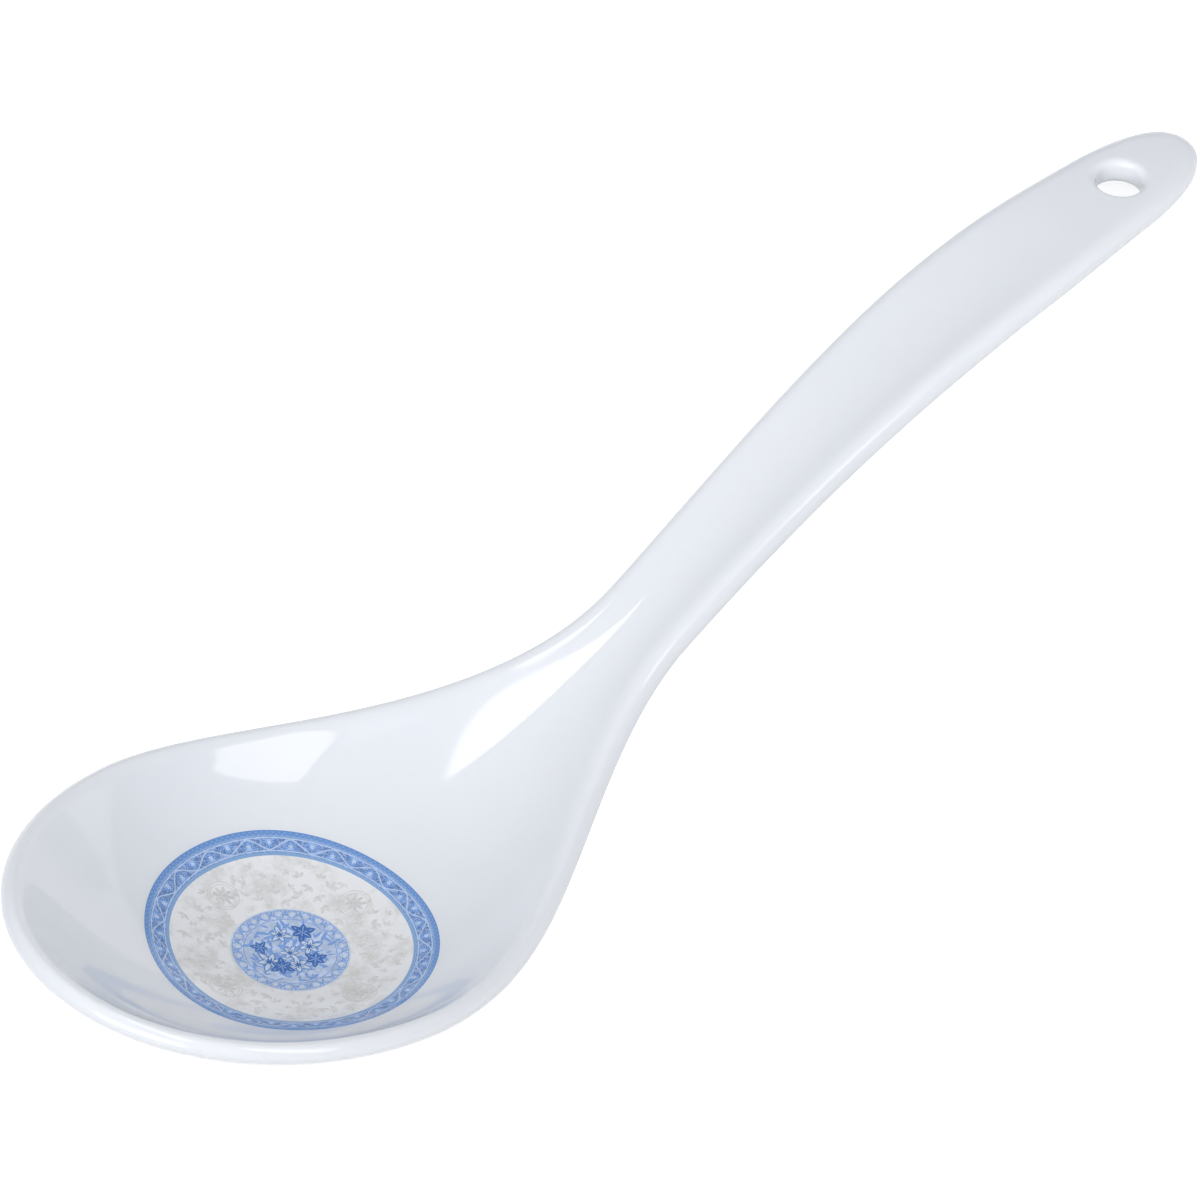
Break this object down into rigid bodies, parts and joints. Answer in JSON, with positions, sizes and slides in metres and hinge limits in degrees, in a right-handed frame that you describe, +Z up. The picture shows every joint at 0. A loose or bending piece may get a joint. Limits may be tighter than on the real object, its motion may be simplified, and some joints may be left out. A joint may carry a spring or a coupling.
{
  "type": "soup spoon",
  "caption": "White moulded soup spoon with a deep oval bowl, a curved handle with a hanging hole, and a round blue-and-white printed disc in the floor of the bowl.",
  "frame": {"origin": "middle of the spoon's box on the table, as the spoon lies on it with the underside of the bowl and of the handle's tip touching", "axes": "+X along the spoon from the bowl to the tip of the handle, +Y across the bowl, +Z up from the table"},
  "size_m": [0.2338, 0.07, 0.0467],
  "materials": {
    "melamine": "glossy moulded melamine, faintly bluish white",
    "foil_paper": "printed paper foil, fused under the glaze",
    "ink_deep_blue": "deep blue print under the glaze",
    "ink_border_blue": "mid blue print with a running vine",
    "ink_line_blue": "blue line",
    "ink_mottled_grey": "warm grey mottled print with faint blossoms",
    "ink_lavender": "lavender blue lace print",
    "ink_pale_blue": "pale blue print with dark blue leaves and petals"
  },
  "bodies": {
    "root": {"spoon_body": "melamine", "decal_foil": "foil_paper", "edge_line_print": "ink_deep_blue", "border_print": "ink_border_blue", "inner_line_print": "ink_line_blue", "field_print": "ink_mottled_grey", "medallion_ring_print": "ink_lavender", "medallion_centre_print": "ink_pale_blue"}
  },
  "joints": []
}
